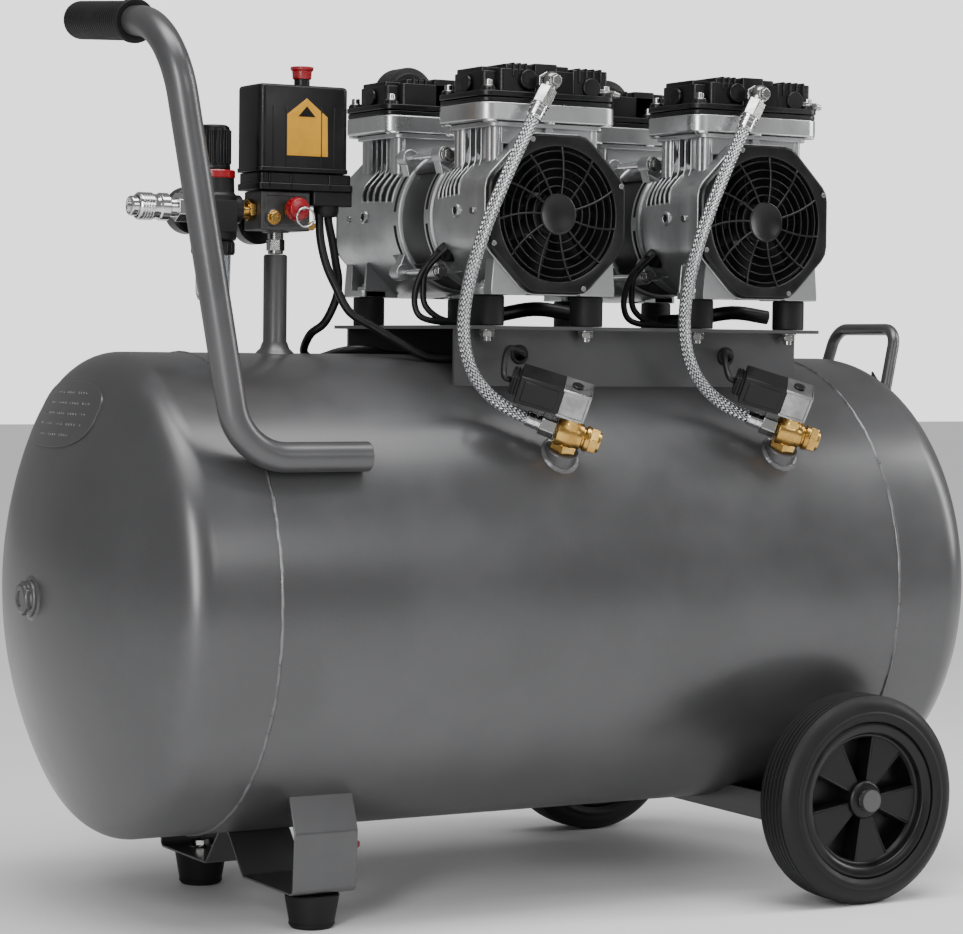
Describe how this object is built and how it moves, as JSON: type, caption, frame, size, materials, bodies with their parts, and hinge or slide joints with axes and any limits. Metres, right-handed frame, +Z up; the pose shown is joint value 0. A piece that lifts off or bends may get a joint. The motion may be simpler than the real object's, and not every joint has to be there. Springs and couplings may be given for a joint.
{
  "type": "air compressor",
  "caption": "Wheeled air compressor with a horizontal tank, bent push handle, oil-free pump units on a platform, braided hoses, pressure switch and regulator",
  "frame": {"origin": "middle of the footprint box, on the floor", "axes": "+X along the tank, away from the push handle; -Y towards the side with the hoses; +Z up"},
  "size_m": [0.8656, 0.4834, 0.7494],
  "materials": {
    "tank_paint": "satin grey paint with a fine metallic fleck",
    "grip_rubber": "matt black moulded rubber",
    "foot_rubber": "matt black rubber",
    "wheel_plastic": "black moulded plastic",
    "tyre_rubber": "black rubber with ring grooves",
    "black_plastic": "black moulded plastic",
    "dark_metal": "black coated casting",
    "red_plastic": "red moulded plastic",
    "clear_plastic": "clear plastic bowl",
    "chrome_steel": "bright plated steel",
    "brass_fitting": "machined brass",
    "cable_rubber": "black cable sheath",
    "cast_aluminium": "bright die-cast aluminium",
    "motor_steel": "dark laminated steel",
    "hose_braid": "braided stainless wire over a hose",
    "mount_rubber": "black rubber buffer with steel studs"
  },
  "bodies": {
    "chassis": {"tank_shell": "tank_paint", "left_tank_end": "tank_paint", "right_tank_end": "tank_paint", "inspection_plug": "tank_paint", "push_handle": "tank_paint", "handle_grip": "grip_rubber", "carry_handle": "tank_paint", "foot_bracket": "tank_paint", "front_foot": "foot_rubber", "rear_foot": "foot_rubber", "axle_bracket": "tank_paint", "motor_platform": "tank_paint", "riser_pipe": "tank_paint", "manifold": "dark_metal", "switch_base": "black_plastic", "switch_cover": "black_plastic", "safety_valve": "red_plastic", "regulator_body": "black_plastic", "filter_bowl": "clear_plastic", "coupler_body": "chrome_steel", "drain_valve": "brass_fitting", "front_lead": "cable_rubber", "rear_lead": "cable_rubber", "pump_1_front_case": "cast_aluminium", "pump_1_rear_case": "cast_aluminium", "pump_1_stator": "motor_steel", "pump_1_front_head": "black_plastic", "pump_1_rear_head": "black_plastic", "pump_1_front_grille": "black_plastic", "pump_1_rear_grille": "black_plastic", "pump_1_hose": "hose_braid", "pump_1_check_valve": "brass_fitting", "pump_1_mount_1": "mount_rubber", "pump_1_mount_2": "mount_rubber", "pump_1_mount_3": "mount_rubber", "pump_1_mount_4": "mount_rubber", "pump_2_front_case": "cast_aluminium", "pump_2_rear_case": "cast_aluminium", "pump_2_stator": "motor_steel", "pump_2_front_head": "black_plastic", "pump_2_rear_head": "black_plastic", "pump_2_front_grille": "black_plastic", "pump_2_rear_grille": "black_plastic", "pump_2_hose": "hose_braid", "pump_2_check_valve": "brass_fitting", "pump_2_mount_1": "mount_rubber", "pump_2_mount_2": "mount_rubber", "pump_2_mount_3": "mount_rubber", "pump_2_mount_4": "mount_rubber"},
    "front_wheel": {"front_wheel_rim": "wheel_plastic", "front_tyre": "tyre_rubber"},
    "rear_wheel": {"rear_wheel_rim": "wheel_plastic", "rear_tyre": "tyre_rubber"},
    "pump_1_shaft": {"pump_1_rotor": "motor_steel"},
    "pump_2_shaft": {"pump_2_rotor": "motor_steel"},
    "switch_button": {"switch_knob": "red_plastic"},
    "regulator_adjuster": {"regulator_knob": "black_plastic"},
    "safety_pull": {"safety_ring": "red_plastic"},
    "coupler_lock": {"coupler_sleeve": "chrome_steel"},
    "drain_lever": {"drain_tap": "red_plastic"}
  },
  "joints": [
    {"name": "front_wheel_spin", "type": "hinge", "parent": "chassis", "child": "front_wheel", "pos_m": [0.245, -0.21885, 0.09], "axis": [0, 1, 0], "continuous": true},
    {"name": "rear_wheel_spin", "type": "hinge", "parent": "chassis", "child": "rear_wheel", "pos_m": [0.245, 0.21885, 0.09], "axis": [0, 1, 0], "continuous": true},
    {"name": "pump_1_spin", "type": "hinge", "parent": "chassis", "child": "pump_1_shaft", "pos_m": [-0.0134, 0, 0.584], "axis": [0, 1, 0], "continuous": true},
    {"name": "pump_2_spin", "type": "hinge", "parent": "chassis", "child": "pump_2_shaft", "pos_m": [0.1968, 0, 0.584], "axis": [0, 1, 0], "continuous": true},
    {"name": "switch_button_slide", "type": "slide", "parent": "chassis", "child": "switch_button", "axis": [0, 0, 1], "range_m": [-0.005, 0]},
    {"name": "regulator_turn", "type": "hinge", "parent": "chassis", "child": "regulator_adjuster", "pos_m": [-0.264, 0, 0.64], "axis": [0, 0, 1], "range_deg": [-360, 360]},
    {"name": "safety_pull_slide", "type": "slide", "parent": "chassis", "child": "safety_pull", "axis": [0, -1, 0], "range_m": [0, 0.003], "stiffness_N_per_m": 400, "springref_m": -0.001},
    {"name": "coupler_lock_slide", "type": "slide", "parent": "chassis", "child": "coupler_lock", "axis": [1, 0, 0], "range_m": [0, 0.004], "stiffness_N_per_m": 600, "springref_m": -0.001},
    {"name": "drain_turn", "type": "hinge", "parent": "chassis", "child": "drain_lever", "pos_m": [-0.157, -0.012, 0.046], "axis": [0, 1, 0], "range_deg": [0, 90]}
  ]
}
